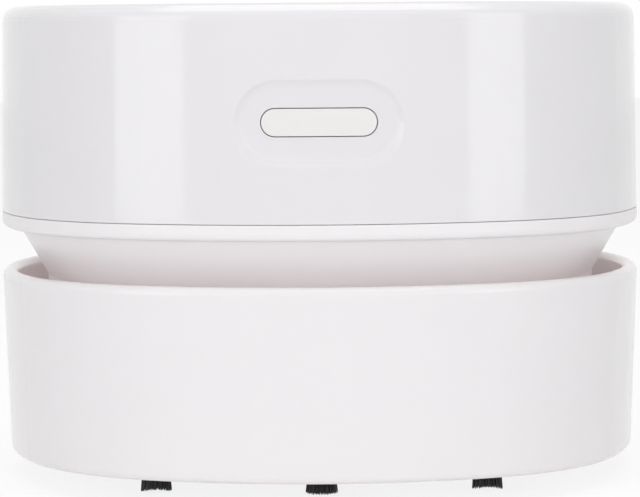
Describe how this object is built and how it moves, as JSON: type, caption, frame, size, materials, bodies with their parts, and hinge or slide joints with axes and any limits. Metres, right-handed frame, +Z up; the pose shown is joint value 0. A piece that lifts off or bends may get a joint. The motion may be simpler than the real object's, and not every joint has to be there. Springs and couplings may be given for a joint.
{
  "type": "desktop mini vacuum cleaner",
  "caption": "Palm-sized desk crumb vacuum: a rounded-square motor housing with a front button, seated on a lift-off dust cup that stands on brush tufts.",
  "frame": {"origin": "centre of the footprint at the brush tips, on the surface it stands on", "axes": "+Z up, the button faces -Y"},
  "size_m": [0.085, 0.085, 0.0619],
  "materials": {
    "gloss_white": "glossy",
    "matte_white": "satin",
    "neck_white": "satin",
    "button_white": "satin",
    "bristle_black": "matt nylon strands",
    "seal_rubber": "matt",
    "inner_plastic": "satin",
    "black_plastic": "satin",
    "motor_steel": "zinc plated",
    "shaft_steel": "ground",
    "contact_metal": "plated",
    "screw_steel": "plated",
    "fan_plastic": "satin",
    "filter_plastic": "satin",
    "mesh_steel": "etched",
    "filter_foam": "open foam",
    "cell_wrap": "shrink film",
    "board_green": "solder mask",
    "lead_red": "soft sleeve",
    "lead_black": "soft sleeve",
    "lead_white": "soft sleeve"
  },
  "bodies": {
    "cup": {"dust_cup": "matte_white", "cup_seal": "seal_rubber", "inlet_chimney": "inner_plastic", "bristle_tuft_1": "bristle_black", "bristle_tuft_2": "bristle_black", "bristle_tuft_3": "bristle_black", "bristle_tuft_4": "bristle_black", "bristle_tuft_5": "bristle_black", "bristle_tuft_6": "bristle_black", "bristle_tuft_7": "bristle_black", "bristle_tuft_8": "bristle_black"},
    "housing": {"lower_housing": "neck_white", "top_cover": "gloss_white", "switch_body": "black_plastic", "switch_board": "board_green", "switch_board_screws": "screw_steel", "motor_can": "motor_steel", "motor_end_cap": "black_plastic", "motor_terminals": "contact_metal", "motor_sleeve": "seal_rubber", "motor_screws": "screw_steel", "fan_plate": "inner_plastic", "fan_plate_screws": "screw_steel", "housing_screws": "screw_steel", "battery_left": "cell_wrap", "battery_right": "cell_wrap", "cradle_left": "inner_plastic", "cradle_right": "inner_plastic", "battery_tabs": "contact_metal", "circuit_board": "board_green", "circuit_board_screws": "screw_steel", "charger_chip": "black_plastic", "charge_socket": "screw_steel", "socket_tongue": "black_plastic", "motor_leads": "lead_red", "battery_leads": "lead_black", "switch_leads": "lead_white"},
    "button": {"power_button": "button_white", "switch_plunger": "black_plastic"},
    "fan": {"motor_shaft": "shaft_steel", "fan_impeller": "fan_plastic"},
    "filter": {"filter_frame": "filter_plastic", "filter_mesh": "mesh_steel", "filter_foam": "filter_foam"}
  },
  "joints": [
    {"name": "housing_lift", "type": "slide", "parent": "cup", "child": "housing", "axis": [0, 0, 1], "range_m": [0, 0.03]},
    {"name": "button_press", "type": "slide", "parent": "housing", "child": "button", "axis": [0, 1, 0], "range_m": [0, 0.0006], "stiffness_N_per_m": 1500},
    {"name": "fan_spin", "type": "hinge", "parent": "housing", "child": "fan", "pos_m": [0, 0, 0.025], "axis": [0, 0, 1], "continuous": true},
    {"name": "filter_pull", "type": "slide", "parent": "housing", "child": "filter", "axis": [0, 0, -1], "range_m": [0, 0.0036]}
  ]
}
